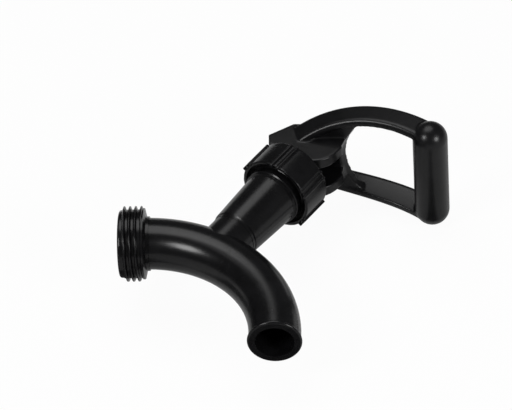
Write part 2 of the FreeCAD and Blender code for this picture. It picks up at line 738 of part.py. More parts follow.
def arch_rise(radius, forward):
    """Height above the pivot of the arch with that radius, that far ahead of the pivot."""
    aside = dim.arch_forward - forward
    return root(radius * radius - aside * aside) - dim.arch_below


def cheek_outline():
    """Side view of both cheeks: flat sole, cam lobe in three arcs that roll on a circle, front, top, heel."""
    half = dim.cam_sweep / 2
    lobes = [(dim.cam_rise * cosine(half * turns), dim.cam_rise * sine(half * turns)) for turns in (1, 3, 5)]
    growth = 2 * dim.cam_rise * sine(half)
    sole = dim.pin_height - dim.cam_gap
    radii = [sole + dim.cam_rise * sine(half) + growth * number for number in range(3)]
    joins = []
    for number in range(3):
        lean = dim.cam_sweep * number
        centre_x, centre_z = lobes[number]
        joins.append((centre_x + radii[number] * sine(lean), centre_z - radii[number] * cosine(lean),
                      radii[number]))
    front = lobes[2][0] + radii[2]
    deck = dim.arm_radius - dim.arm_height / 2 + dim.deck_inset + dim.deck_thickness
    return [
        (-dim.heel_length, -sole), *joins, (front, lobes[2][1]),
        (front, arch_rise(deck, front) - dim.deck_thickness / 2),
        (front - dim.cheek_nose, arch_rise(deck, front - dim.cheek_nose)),
        (-dim.cheek_top_back, dim.cheek_top_rise), (-dim.cheek_slope_back, dim.cheek_slope_rise),
        (-dim.heel_tip_back, -dim.heel_tip_below),
    ], front


def arm_section(arm, side, share):
    """One rounded cross-section of an arm, in a plane through the arch's centre."""
    angle = dim.arch_start + (dim.arch_finish - dim.arch_start) * share
    inward = (angle - dim.arch_finish) / (dim.arch_open - dim.arch_finish)
    across = side * (dim.arm_spread - dim.arm_flare * inward * inward * inward)
    forward = dim.arch_forward + dim.arm_radius * cosine(angle)
    rise = dim.arm_radius * sine(angle) - dim.arch_below
    outer = dim.arm_width / 2
    high = dim.arm_height / 2
    low = -high - dim.arm_growth * share
    top_round = dim.arm_top_round
    foot_round = dim.arm_foot_round
    corners = [
        (outer - foot_round, low, foot_round), (outer, low + foot_round),
        (outer, high - top_round, top_round), (outer - top_round, high),
        (top_round - outer, high, top_round), (-outer, high - top_round),
        (-outer, high - dim.arm_inner_drop), (outer - dim.arm_foot_width, low),
    ]
    sketch = new_sketch(arm, "%s_section" % arm.Label, "YZ_Plane", corners if side > 0 else mirrored(corners))
    sketch.AttachmentOffset = FreeCAD.Placement(
        FreeCAD.Vector(across.number, rise.number, forward.number),
        FreeCAD.Rotation(FreeCAD.Vector(-1, 0, 0), (angle - 90).number))
    bind(sketch, AttachmentOffset__Base__x=across, AttachmentOffset__Base__y=rise,
         AttachmentOffset__Base__z=forward)
    return sketch


def handle_arm(label, side):
    """An arm that rises out of the cheek, spreads and comes down to the grip."""
    arm = new_body(label)
    sections = [arm_section(arm, side, number / 6) for number in range(7)]
    loft = arm.newObject("PartDesign::AdditiveLoft", label + "_loft")
    loft.Profile = sections[-1]
    loft.Sections = sections[-2::-1]
    return arm


def handle_head():
    """Both cheeks as one block, and the deck that reaches out to the arms, bitten out in front."""
    head = new_body("handle_head")
    cheeks, front = cheek_outline()
    low = dim.arm_radius - dim.arm_height / 2 + dim.deck_inset
    high = low + dim.deck_thickness
    back = -dim.deck_back
    reach = front + dim.notch_corner_run
    pad_across(head, "deck", [
        (back, arch_rise(low, back), -low), (reach, arch_rise(low, reach)),
        (reach, arch_rise(high, reach), high), (back, arch_rise(high, back)),
    ], 2 * dim.arm_spread)
    flank = new_sketch(head, "flank_outline", "XY_Plane", *[
        [(-dim.beyond, side * dim.cheek_width / 2), (-dim.deck_flank_back, side * dim.cheek_width / 2),
         (dim.deck_knee, side * dim.deck_knee_width / 2), (reach, side * dim.deck_front_width / 2),
         (reach, side * dim.beyond), (-dim.beyond, side * dim.beyond)] for side in (1, -1)])
    trim = head.newObject("PartDesign::Pocket", "flanks")
    trim.Profile = flank
    trim.SideType = "Symmetric"
    bind(trim, Length=2 * dim.beyond)
    pad_across(head, "cheeks", cheeks, dim.cheek_width)
    half = dim.notch_width / 2
    wide = dim.deck_front_width / 2 - dim.over
    middle_bend = -(half * half / dim.notch_depth + dim.notch_depth) / 2
    notch = new_sketch(head, "notch_outline", "XY_Plane", [
        (front - dim.notch_depth, 0, middle_bend), (front, half, -dim.notch_corner), (reach, wide),
        (reach, -wide, -dim.notch_corner), (front, -half, middle_bend),
    ])
    bind(notch, AttachmentOffset__Base__z=dim.eye_dia)
    bite = head.newObject("PartDesign::Pocket", "deck_notch")
    bite.Profile = notch
    bite.Reversed = True
    bind(bite, Length=dim.arm_radius)
    return head


def handle_grip():
    """The bar between the arms, with round ends."""
    reach = dim.arch_forward + dim.arm_radius * cosine(dim.arch_finish)
    rise = dim.arm_radius * sine(dim.arch_finish) - dim.arch_below
    half = dim.grip_length / 2
    ball = dim.grip_dia / 2
    grip = new_body("handle_grip")
    turn(grip, "grip_turning", [
        (0, -half, ball), (ball, ball - half), (ball, half - ball, ball), (0, half),
    ])
    grip.Placement = FreeCAD.Placement(FreeCAD.Vector(reach.number, 0, rise.number),
                                       FreeCAD.Rotation(FreeCAD.Vector(1, 0, 0), 90))
    bind(grip, Placement__Base__x=reach, Placement__Base__z=rise)
    return grip


def fork_slot():
    """The slot for the stem: open below and in front, closed above by the deck."""
    room = dim.eye_dia / 2 + dim.eye_room
    front = cheek_outline()[1]
    slot = new_body("fork_slot")
    pad_across(slot, "slot_pad", [
        (-room, -dim.beyond), (front + dim.beyond, -dim.beyond), (front + dim.beyond, dim.slot_roof_front),
        (front - dim.slot_roof_back, dim.slot_roof_rise), (-room, room),
    ], dim.fork_gap)
    return slot


def pin_hole():
    """Blind in the near cheek, through in the far one."""
    depth = dim.pin_length + dim.fit_gap - dim.cheek_width / 2 + dim.pin_hole_spare
    hole = new_body("pin_hole")
    turn(hole, "pin_hole_turning", [
        (0, -dim.cheek_width), (dim.pin_dia / 2, -dim.cheek_width), (dim.pin_dia / 2, depth), (0, depth),
    ])
    hole.Placement.Rotation = FreeCAD.Rotation(FreeCAD.Vector(1, 0, 0), 90)
    return hole


def make_handle():
    """The moulded lever: forked cam cheeks, a deck between two flared arms, and the grip bar."""
    solid = fuse("handle_solid", [handle_head(), handle_arm("arm_left", 1), handle_arm("arm_right", -1),
                                  handle_grip()])
    handle = cut("handle", solid, fuse("handle_spaces", [fork_slot(), pin_hole()]))
    lay_on_branch(handle, pivot)
    return handle


o_ring_height = socket_floor + dim.bush_socket_depth / 2
SUB_PARTS = [
    make_spout_body(),
    make_bonnet_nut(),
    make_guide_bush(),
    make_o_ring("bush_o_ring", dim.bush_socket_dia / 2 - dim.ring_section / 2 - dim.fit_gap, o_ring_height),
    make_o_ring("stem_o_ring", dim.stem_dia / 2 + dim.ring_section / 2 + dim.fit_gap, o_ring_height),
    make_stem(),
    make_seat_cup(),
    make_seat_washer(),
    make_seat_screw(),
    make_return_spring(),
    make_pivot_pin(),
    make_handle(),
]

doc.recompute()
for thing in doc.Objects:
    if "Invalid" in thing.State or "Error" in thing.State:
        raise RuntimeError("%s did not compute: %s" % (thing.Name, thing.getStatusString()))
for piece in SUB_PARTS:
    if piece.Shape.isNull() or not piece.Shape.isValid() or not piece.Shape.Solids:
        raise RuntimeError("%s has no valid solid" % piece.Label)

os.makedirs("parts", exist_ok=True)
for piece in SUB_PARTS:
    piece.Shape.exportStep("parts/%s.step" % piece.Label)
    print(piece.Label, len(piece.Shape.Solids), round(piece.Shape.Volume, 1))
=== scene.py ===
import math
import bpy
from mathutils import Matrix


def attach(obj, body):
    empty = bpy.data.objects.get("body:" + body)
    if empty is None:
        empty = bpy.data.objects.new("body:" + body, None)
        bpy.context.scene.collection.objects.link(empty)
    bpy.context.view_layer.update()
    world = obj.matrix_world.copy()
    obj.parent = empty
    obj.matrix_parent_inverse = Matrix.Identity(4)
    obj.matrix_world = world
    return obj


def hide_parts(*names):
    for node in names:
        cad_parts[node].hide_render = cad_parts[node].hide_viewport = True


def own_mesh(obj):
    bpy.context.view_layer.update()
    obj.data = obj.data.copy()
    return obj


bl_info = {
    "name": "Beverage faucet finish",
    "version": (1, 0, 0),
    "blender": (4, 5, 0),
    "location": "View3D > Sidebar > Faucet",
    "description": "Dresses a self-closing beverage faucet with moulded detail, materials and a studio stage",
    "category": "Mesh",
}

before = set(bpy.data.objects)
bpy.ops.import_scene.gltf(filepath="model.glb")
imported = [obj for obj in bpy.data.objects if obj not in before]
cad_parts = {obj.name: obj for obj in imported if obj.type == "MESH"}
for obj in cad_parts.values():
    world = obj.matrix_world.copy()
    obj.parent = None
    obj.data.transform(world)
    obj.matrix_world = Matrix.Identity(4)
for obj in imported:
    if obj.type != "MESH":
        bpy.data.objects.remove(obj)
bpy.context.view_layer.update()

import bpy
from mathutils import Matrix, Vector

MM = 0.001

# Places on the faucet in millimetres, as its drawing has them.
BEND_START = 1.9
BEND_RADIUS = 65.2
BRANCH_PLACE = math.radians(31.0)
BRANCH_LEAN = math.radians(33.4)
BRANCH_AXIS = Vector((math.sin(BRANCH_LEAN), 0.0, math.cos(BRANCH_LEAN)))
BRANCH_FRONT = Vector((math.cos(BRANCH_LEAN), 0.0, -math.sin(BRANCH_LEAN)))
JUNCTION = Vector((BEND_START + BEND_RADIUS * math.sin(BRANCH_PLACE), 0.0,
                   BEND_RADIUS * (math.cos(BRANCH_PLACE) - 1.0)))
PIVOT = JUNCTION + BRANCH_AXIS * 77.0
# The handle's cheeks, measured from the pivot: front, inner and outer faces. The bite is in the deck between the arms.
CHEEK_FRONT = 16.5
CHEEK_INSIDE = 6.5
CHEEK_OUTSIDE = 12.5
DECK_BITE = 4.4
DECK_BITE_RADIUS = 29.5
# The ramps on the cheeks' fronts: how far back they reach into the cheek, their foot and their top.
RAMP_DEPTH = 6.0
RAMP_FOOT = 8.8
RAMP_TOP = 16.5
# The collar's thread: its buried root, where it starts along and round the collar, and its turns.
THREAD_ROOT = 16.2
THREAD_START = -8.4
THREAD_FIRST = math.radians(-69.0)
THREAD_TURNS = 3.4
STEPS_A_TURN = 120
# Half of the thread at its foot and at its flat crest, as shares of the pitch, and its run-out as a share of a turn.
FLANK_SHARE = 0.42
FLAT_SHARE = 0.09
RUN_OUT = 0.2
# Soft edges: size of the grid in millimetres, and rounds of rubbing.
HANDLE_EDGES = (0.45, 5)
NUT_EDGES = (0.35, 3)
JOIN_DISTANCE = 0.005


# ---- settings ----

class FaucetFinish(bpy.types.PropertyGroup):
    """Sizes and colours that can be changed before the pieces are made."""
    thread_crest: bpy.props.FloatProperty(
        name="Thread crest", description="Radius over the collar's thread", default=18.55 * MM,
        min=17 * MM, max=20 * MM, subtype="DISTANCE", unit="LENGTH")
    thread_pitch: bpy.props.FloatProperty(
        name="Thread pitch", description="Distance from crest to crest", default=2.8 * MM,
        min=1.5 * MM, max=4 * MM, subtype="DISTANCE", unit="LENGTH")
    moulded_colour: bpy.props.StringProperty(
        name="Moulded black", description="Colour of the spout, nut and handle as sRGB hex", default="0A0A0B")
    bush_colour: bpy.props.StringProperty(
        name="Bush", description="Colour of the guide bush as sRGB hex", default="161617")
    stem_colour: bpy.props.StringProperty(
        name="Stem", description="Colour of the stem as sRGB hex", default="1B1B1C")
    silicone_colour: bpy.props.StringProperty(
        name="Seat cup", description="Colour of the soft seat cup as sRGB hex", default="A09E99")
    nitrile_colour: bpy.props.StringProperty(
        name="O-rings", description="Colour of both O-rings as sRGB hex", default="121212")
    steel_colour: bpy.props.StringProperty(
        name="Stainless", description="Colour of the pin, screw and washer as sRGB hex", default="C4C4C6")
    wire_colour: bpy.props.StringProperty(
        name="Spring wire", description="Colour of the return spring as sRGB hex", default="B4B4B4")


# ---- materials ----

def linear(hex_colour):
    """A colour written as sRGB hex, as the linear colour that a node takes."""
    parts = [int(hex_colour[place:place + 2], 16) / 255 for place in (0, 2, 4)]
    return [part / 12.92 if part <= 0.04045 else ((part + 0.055) / 1.055) ** 2.4 for part in parts] + [1.0]


def add_node(tree, kind, settings=None, links=None):
    """Adds one node. settings are its own properties or its inputs' values; links join outputs to its inputs."""
    node = tree.nodes.new(kind)
    for name, value in (settings or {}).items():
        if name in node.inputs:
            node.inputs[name].default_value = value
        else:
            setattr(node, name, value)
    for name, source in (links or {}).items():
        tree.links.new(source, node.inputs[name])
    return node


def new_material(name):
    material = bpy.data.materials.new(name)
    material.use_nodes = True
    material.node_tree.nodes.clear()
    return material, material.node_tree


def moulded_plastic(name, colour, gloss, wear, bump):
    """Injection-moulded black plastic: a tight shine with slow waves from shrinkage, a fine skin, light scuffs."""
    material, tree = new_material(name)
    place = add_node(tree, "ShaderNodeTexCoord")
    waves = add_node(tree, "ShaderNodeTexNoise", {"Scale": 140.0, "Detail": 2.0, "Roughness": 0.5},
                     {"Vector": place.outputs["Object"]})
    skin = add_node(tree, "ShaderNodeTexNoise", {"Scale": 1500.0, "Detail": 3.0, "Roughness": 0.6},
                    {"Vector": place.outputs["Object"]})
    scuffs = add_node(tree, "ShaderNodeTexNoise", {"Scale": 420.0, "Detail": 6.0, "Roughness": 0.75,
                                                   "Distortion": 1.2}, {"Vector": place.outputs["Object"]})
    worn = add_node(tree, "ShaderNodeMapRange", {"From Min": 0.5, "From Max": 0.8, "To Min": gloss,
                                                 "To Max": gloss + wear}, {"Value": scuffs.outputs["Fac"]})
    tone = add_node(tree, "ShaderNodeMapRange", {"From Min": 0.3, "From Max": 0.7, "To Min": 0.75, "To Max": 1.3},
                    {"Value": waves.outputs["Fac"]})
    tint = add_node(tree, "ShaderNodeMix", {"data_type": "RGBA", "blend_type": "MULTIPLY", "Factor": 1.0})
    for socket in tint.inputs:
        if socket.type == "RGBA" and socket.name == "A":
            socket.default_value = linear(colour)
        if socket.type == "RGBA" and socket.name == "B":
            tree.links.new(tone.outputs["Result"], socket)
    slow = add_node(tree, "ShaderNodeBump", {"Strength": bump, "Distance": 0.00012},
                    {"Height": waves.outputs["Fac"]})
    fine = add_node(tree, "ShaderNodeBump", {"Strength": bump, "Distance": 0.00002},
                    {"Height": skin.outputs["Fac"], "Normal": slow.outputs["Normal"]})
    shader = add_node(tree, "ShaderNodeBsdfPrincipled", {"IOR": 1.49, "Specular IOR Level": 0.22},
                      {"Roughness": worn.outputs["Result"], "Normal": fine.outputs["Normal"]})
    colour_out = [socket for socket in tint.outputs if socket.type == "RGBA"][0]
    tree.links.new(colour_out, shader.inputs["Base Color"])
    add_node(tree, "ShaderNodeOutputMaterial", None, {"Surface": shader.outputs["BSDF"]})
    return material


def soft_rubber(name, colour, gloss):
    """Moulded rubber: matt, with a faint bloom and a fine grain."""
    material, tree = new_material(name)
    place = add_node(tree, "ShaderNodeTexCoord")
    bloom = add_node(tree, "ShaderNodeTexNoise", {"Scale": 260.0, "Detail": 4.0},
                     {"Vector": place.outputs["Object"]})
    grain = add_node(tree, "ShaderNodeTexNoise", {"Scale": 2600.0, "Detail": 2.0},
                     {"Vector": place.outputs["Object"]})
    ramp = add_node(tree, "ShaderNodeValToRGB", None, {"Fac": bloom.outputs["Fac"]})
    tone = linear(colour)
    ramp.color_ramp.elements[0].color = [part * 0.8 for part in tone[:3]] + [1.0]
    ramp.color_ramp.elements[1].color = [min(part * 1.2, 1.0) for part in tone[:3]] + [1.0]
    skin = add_node(tree, "ShaderNodeBump", {"Strength": 0.3, "Distance": 0.00003},
                    {"Height": grain.outputs["Fac"]})
    shader = add_node(tree, "ShaderNodeBsdfPrincipled", {"IOR": 1.43, "Roughness": gloss},
                      {"Base Color": ramp.outputs["Color"], "Normal": skin.outputs["Normal"]})
    add_node(tree, "ShaderNodeOutputMaterial", None, {"Surface": shader.outputs["BSDF"]})
    return material


def stainless_steel(name, colour, gloss, lines):
    """Turned or drawn stainless steel: fine tool lines, a soft shine and slight staining."""
    material, tree = new_material(name)
    place = add_node(tree, "ShaderNodeTexCoord")
    stain = add_node(tree, "ShaderNodeTexNoise", {"Scale": 320.0, "Detail": 5.0},
                     {"Vector": place.outputs["Object"]})
    tool = add_node(tree, "ShaderNodeTexWave", {"Scale": lines, "Distortion": 0.4, "Detail": 1.0},
                    {"Vector": place.outputs["Object"]})
    ramp = add_node(tree, "ShaderNodeValToRGB", None, {"Fac": stain.outputs["Fac"]})
    tone = linear(colour)
    ramp.color_ramp.elements[0].color = [part * 0.82 for part in tone[:3]] + [1.0]
    ramp.color_ramp.elements[1].color = tone
    rough = add_node(tree, "ShaderNodeMapRange", {"To Min": gloss, "To Max": gloss + 0.14},
                     {"Value": stain.outputs["Fac"]})
    skin = add_node(tree, "ShaderNodeBump", {"Strength": 0.25, "Distance": 0.00002},
                    {"Height": tool.outputs["Fac"]})
    shader = add_node(tree, "ShaderNodeBsdfPrincipled", {"Metallic": 1.0},
                      {"Base Color": ramp.outputs["Color"], "Roughness": rough.outputs["Result"],
                       "Normal": skin.outputs["Normal"]})
    add_node(tree, "ShaderNodeOutputMaterial", None, {"Surface": shader.outputs["BSDF"]})
    return material


# Every finish: how it is made, its name, the setting that holds its colour, and the maker's own values.
FINISHES = {
    "spout": (moulded_plastic, "black acetal, spout", "moulded_colour", 0.22, 0.12, 0.1),
    "nut": (moulded_plastic, "black acetal, nut", "moulded_colour", 0.24, 0.05, 0.06),
    "handle": (moulded_plastic, "black nylon, handle", "moulded_colour", 0.3, 0.1, 0.12),
    "bush": (moulded_plastic, "black acetal, guide bush", "bush_colour", 0.46, 0.12, 0.3),
    "stem": (moulded_plastic, "black acetal, stem", "stem_colour", 0.34, 0.12, 0.25),
    "cup": (soft_rubber, "grey silicone, seat cup", "silicone_colour", 0.55),
    "ring": (soft_rubber, "black nitrile, O-ring", "nitrile_colour", 0.42),
    "steel": (stainless_steel, "stainless steel, turned", "steel_colour", 0.24, 900.0),
    "wire": (stainless_steel, "stainless steel, drawn wire", "wire_colour", 0.3, 1400.0),
}
NODE_FINISHES = {
    "spout_body": "spout", "bonnet_nut": "nut", "handle": "handle", "guide_bush": "bush", "stem": "stem",
    "seat_cup": "cup", "bush_o_ring": "ring", "stem_o_ring": "ring", "seat_washer": "steel",
    "seat_screw": "steel", "pivot_pin": "steel", "return_spring": "wire",
}


def finish_named(finish):
    """One of the finishes, made at its first use."""
    make, name, setting, *values = FINISHES[finish]
    if name not in bpy.data.materials:
        make(name, getattr(bpy.context.scene.faucet_finish, setting), *values)
    return bpy.data.materials[name]


# ---- making pieces ----

def deselect():
    for thing in list(bpy.context.selected_objects):
        thing.select_set(False)


def pick(thing):
    deselect()
    thing.select_set(True)
    bpy.context.view_layer.objects.active = thing


def apply_all(thing):
    """Applies every modifier, in order."""
    pick(thing)
    for name in [modifier.name for modifier in thing.modifiers]:
        bpy.ops.object.modifier_apply(modifier=name)


def settle(thing):
    """Puts the piece's place into its mesh, so that its object sits at the origin."""
    pick(thing)
    bpy.ops.object.transform_apply(location=True, rotation=True, scale=True)


def finish_piece(thing, body, finish):
    """Gives the piece its finish and hangs it on its body."""
    thing.data.materials.clear()
    thing.data.materials.append(finish_named(finish))
    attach(thing, body)


class FAUCET_OT_collar_thread(bpy.types.Operator):
    """Winds the right-hand mounting thread round the inlet collar, with its run-out at both ends."""
    bl_idname = "faucet.collar_thread"
    bl_label = "Collar thread"

    def execute(self, context):
        sizes = context.scene.faucet_finish
        crest = sizes.thread_crest
        pitch = sizes.thread_pitch
        root = THREAD_ROOT * MM
        start = THREAD_START * MM + pitch * THREAD_FIRST / (2 * math.pi)
        up = math.atan2(CAMERA_UP.z, CAMERA_UP.y) + THREAD_FIRST
        flank = FLANK_SHARE * pitch
        flat = FLAT_SHARE * pitch
        # One side of the outline: straight flank, then a crest rounded over its last 0.2 mm.
        side = [(root, flank), (root + 0.3 * (crest - root), flank * 0.78), (crest - 0.2 * MM, flat * 1.5),
                (crest - 0.05 * MM, flat), (crest, flat * 0.3)]
        outline = [(reach, -along) for reach, along in side] + side[::-1]
        deselect()
        bpy.ops.mesh.primitive_circle_add(vertices=len(outline), radius=1.0, location=(0, 0, 0))
        thread = context.object
        thread.name = "collar_thread"
        for vertex, (reach, along) in zip(thread.data.vertices, outline):
            vertex.co = (start + along, reach * math.cos(up), reach * math.sin(up))
        screw = thread.modifiers.new("wind", "SCREW")
        screw.axis = "X"
        screw.angle = 2 * math.pi * THREAD_TURNS
        screw.screw_offset = pitch * THREAD_TURNS
        screw.steps = screw.render_steps = int(STEPS_A_TURN * THREAD_TURNS)
        screw.use_smooth_shade = True
        apply_all(thread)
        self.run_out(thread, start, up, root, pitch)
        finish_piece(thread, "valve_body", "spout")
        return {"FINISHED"}

    def run_out(self, thread, start, up, root, pitch):
        """Lets both ends of the thread sink into the collar."""
        buried = root - 0.1 * MM
        for vertex in thread.data.vertices:
            share = ((math.atan2(vertex.co.z, vertex.co.y) - up) / (2 * math.pi)) % 1.0
            place = share + round((vertex.co.x - start) / pitch - share)
            ends = min(max(min(place, THREAD_TURNS - place) / RUN_OUT, 0.0), 1.0)
            reach = math.hypot(vertex.co.y, vertex.co.z)
            wanted = buried + (reach - buried) * (0.05 + 0.95 * math.sin(ends * math.pi / 2))
            vertex.co.y *= wanted / reach
            vertex.co.z *= wanted / reach


def on_handle(forward, across, rise):
    """A point given from the pivot in the handle's own directions, in metres in the faucet's frame."""
    return (PIVOT + BRANCH_FRONT * forward + Vector((0.0, across, 0.0)) + BRANCH_AXIS * rise) * MM


def copy_of(node, name):
    """A free copy of a piece of the drawing, its triangles joined at their corners."""
    thing = bpy.data.objects.new(name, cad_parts[node].data.copy())
    bpy.context.scene.collection.objects.link(thing)
    pick(thing)
    bpy.ops.object.mode_set(mode="EDIT")
    bpy.ops.mesh.select_all(action="SELECT")
    bpy.ops.mesh.remove_doubles(threshold=JOIN_DISTANCE * MM)
    bpy.ops.object.mode_set(mode="OBJECT")
    return thing


def soften(thing, grid, rounds):
    """Remakes the piece's skin on a fine grid and rubs its edges round, as a mould leaves them."""
    skin = thing.modifiers.new("skin", "REMESH")
    skin.mode = "VOXEL"
    skin.voxel_size = grid * MM
    skin.use_smooth_shade = True
    rub = thing.modifiers.new("rub", "SMOOTH")
    rub.factor = 0.5
    rub.iterations = rounds
    apply_all(thing)


class FAUCET_OT_handle_skin(bpy.types.Operator):
    """Moulds the handle's skin: soft edges all over, and cheeks that run smoothly into the deck's bite in front."""
    bl_idname = "faucet.handle_skin"
    bl_label = "Handle skin"

    def execute(self, context):
        skin = copy_of("handle", "handle_skin")
        fills = [self.fill(side) for side in (-1, 1)]
        pick(skin)
        for fill in fills:
            fill.select_set(True)
        bpy.ops.object.join()
        soften(skin, *HANDLE_EDGES)
        finish_piece(skin, "handle", "handle")
        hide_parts("handle")
        return {"FINISHED"}

    def fill(self, side):
        """A ramp on one cheek's front, from the cam's nose up to the bite."""
        deselect()
        bpy.ops.mesh.primitive_cube_add(size=2.0, location=(0, 0, 0))
        fill = bpy.context.object
        fill.name = "cheek_front"
        for vertex in fill.data.vertices:
            across = CHEEK_OUTSIDE if vertex.co.y > 0 else CHEEK_INSIDE
            bite = CHEEK_FRONT - DECK_BITE + across * across / (2 * DECK_BITE_RADIUS)
            top = vertex.co.z > 0
            front = bite if top else CHEEK_FRONT
            vertex.co = on_handle(front if vertex.co.x > 0 else CHEEK_FRONT - RAMP_DEPTH, side * across,
                                  RAMP_TOP if top else RAMP_FOOT)
        bpy.ops.object.mode_set(mode="EDIT")
        bpy.ops.mesh.select_all(action="SELECT")
        bpy.ops.mesh.normals_make_consistent(inside=False)
        bpy.ops.object.mode_set(mode="OBJECT")
        return fill


class FAUCET_OT_nut_skin(bpy.types.Operator):
    """Moulds the union nut's skin, so that its ribs and rims catch the light on round edges."""
    bl_idname = "faucet.nut_skin"
    bl_label = "Nut skin"

    def execute(self, context):
        skin = copy_of("bonnet_nut", "nut_skin")
        soften(skin, *NUT_EDGES)
        finish_piece(skin, "valve_body", "nut")
        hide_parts("bonnet_nut")
        return {"FINISHED"}


class FAUCET_OT_spring_coil(bpy.types.Operator):
    """Puts a copy of the return spring, with the wire finish and a mesh of its own, on the valve body in place of the
    drawn one.
    """
    bl_idname = "faucet.spring_coil"
    bl_label = "Spring"

    def execute(self, context):
        coil = copy_of("return_spring", "spring_coil")
        finish_piece(coil, "valve_body", "wire")
        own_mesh(coil)
        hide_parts("return_spring")
        return {"FINISHED"}


class FAUCET_OT_dress_nodes(bpy.types.Operator):
    """Gives every piece of the drawing its finish."""
    bl_idname = "faucet.dress_nodes"
    bl_label = "Finishes"

    def execute(self, context):
        for node, finish in NODE_FINISHES.items():
            material = finish_named(finish)
            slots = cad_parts[node].data.materials
            if not slots:
                slots.append(material)
            for number in range(len(slots)):
                slots[number] = material
        return {"FINISHED"}


class FAUCET_OT_stage(bpy.types.Operator):
    """Sets up a white table that the faucet lies on, soft lights, a plain room and the camera."""
    bl_idname = "faucet.stage"
    bl_label = "Studio stage"

    def execute(self, context):
        scene = context.scene
        scene.view_settings.view_transform = "Standard"
        self.table()
        self.room(scene)
        self.tent()
        self.painted_shadow_cards()
        self.lights(scene)
        self.camera(scene)
        return {"FINISHED"}

    def table(self):
        """A white table, which can be seen through from below."""
        deselect()
        bpy.ops.mesh.primitive_plane_add(size=TABLE_SIDE, location=(STAGE_MIDDLE.x, TABLE_PLACE * MM, 0.0),
                                         rotation=(math.pi / 2, 0, 0))
        table = bpy.context.object
        table.name = "table_top"
        material, tree = new_material("white table")
        paper = add_node(tree, "ShaderNodeBsdfDiffuse", {"Color": linear("BCBCBC")})
        glow = add_node(tree, "ShaderNodeEmission", {"Color": WHITE, "Strength": 1.0})
        lit = add_node(tree, "ShaderNodeMixShader", None, {"Fac": self.seen_rays(tree, *TABLE_WHITE)})
        tree.links.new(paper.outputs["BSDF"], lit.inputs[1])
        tree.links.new(glow.outputs["Emission"], lit.inputs[2])
        side = add_node(tree, "ShaderNodeNewGeometry")
        clear = add_node(tree, "ShaderNodeBsdfTransparent")
        both = add_node(tree, "ShaderNodeMixShader", None, {"Fac": side.outputs["Backfacing"]})
        tree.links.new(lit.outputs["Shader"], both.inputs[1])
        tree.links.new(clear.outputs["BSDF"], both.inputs[2])
        add_node(tree, "ShaderNodeOutputMaterial", None, {"Surface": both.outputs["Shader"]})
        table.data.materials.append(material)

    def seen_rays(self, tree, camera, shine):
        """The share of white that the camera sees, also through glass, and that a shine sees; 0 for plain light."""
        path = add_node(tree, "ShaderNodeLightPath")
        straight = add_node(tree, "ShaderNodeMath", {"operation": "MAXIMUM"})
        tree.links.new(path.outputs["Is Camera Ray"], straight.inputs[0])
        tree.links.new(path.outputs["Is Transmission Ray"], straight.inputs[1])
        shares = []
        for source, share in ((straight.outputs[0], camera), (path.outputs["Is Glossy Ray"], shine)):
            part = add_node(tree, "ShaderNodeMath", {"operation": "MULTIPLY"})
            tree.links.new(source, part.inputs[0])
            part.inputs[1].default_value = share
            shares.append(part)
        seen = add_node(tree, "ShaderNodeMath", {"operation": "MAXIMUM"})
        for place, part in enumerate(shares):
            tree.links.new(part.outputs[0], seen.inputs[place])
        return seen.outputs[0]

    def room(self, scene):
        """A plain room, white to the camera and dim as a light."""
        world = bpy.data.worlds.new("plain room")
        scene.world = world
        world.use_nodes = True
        tree = world.node_tree
        tree.nodes.clear()
        back = add_node(tree, "ShaderNodeBackground", {"Color": WHITE, "Strength": 1.0})
        dim = add_node(tree, "ShaderNodeBackground", {"Color": WHITE, "Strength": ROOM_LIGHT})
        both = add_node(tree, "ShaderNodeMixShader", None, {"Fac": self.seen_rays(tree, 1.0, 1.0)})
        tree.links.new(dim.outputs["Background"], both.inputs[1])
        tree.links.new(back.outputs["Background"], both.inputs[2])
        add_node(tree, "ShaderNodeOutputWorld", None, {"Surface": both.outputs["Shader"]})

    def tent(self):
        """A glowing dome over the table, which only shows in the shine of the plastic: a painted reflection, darker up
        to the left and lighter down to the right.
        """
        deselect()
        bpy.ops.mesh.primitive_uv_sphere_add(segments=48, ring_count=24, radius=TENT_RADIUS, location=STAGE_MIDDLE)
        dome = bpy.context.object
        dome.name = "painted_reflection_dome"
        bpy.ops.object.mode_set(mode="EDIT")
        bpy.ops.mesh.select_all(action="SELECT")
        bpy.ops.mesh.bisect(plane_co=(0.0, TABLE_PLACE * MM, 0.0), plane_no=(0.0, -1.0, 0.0), clear_inner=True)
        bpy.ops.object.mode_set(mode="OBJECT")
        settle(dome)
        material, tree = new_material("glowing reflection dome, painted shades")
        place = add_node(tree, "ShaderNodeTexCoord")
        lean = add_node(tree, "ShaderNodeVectorMath", {"operation": "DOT_PRODUCT"})
        tree.links.new(place.outputs["Object"], lean.inputs[0])
        lean.inputs[1].default_value = (CAMERA_RIGHT - CAMERA_UP).normalized() / TENT_RADIUS
        # Painted reflection: the dome glows darker up to the left and lighter down to the right, as the plastic is to
        # mirror it.
        dark, light = PAINTED_REFLECTION_SHADES
        shade = add_node(tree, "ShaderNodeMapRange", {"From Min": -0.8, "From Max": 0.8, "To Min": dark,
                                                      "To Max": light}, {"Value": lean.outputs["Value"]})
        glow = add_node(tree, "ShaderNodeEmission", None, {"Strength": shade.outputs["Result"]})
        add_node(tree, "ShaderNodeOutputMaterial", None, {"Surface": glow.outputs["Emission"]})
        dome.data.materials.append(material)
        self.only_in_shine(dome)

    def only_in_shine(self, thing):
        """Hides a thing of the stage from all rays but those of a shine."""
        thing.visible_camera = False
        thing.visible_diffuse = False
        thing.visible_shadow = False
        thing.visible_transmission = False

    def painted_shadow_cards(self):
        """Dark glowing cards that lie on the table and only show in the shine: painted shadow of the parts on the
        table, so that the plastic has deep streaks between its lights.
        """
        material, tree = new_material("painted shadow card")
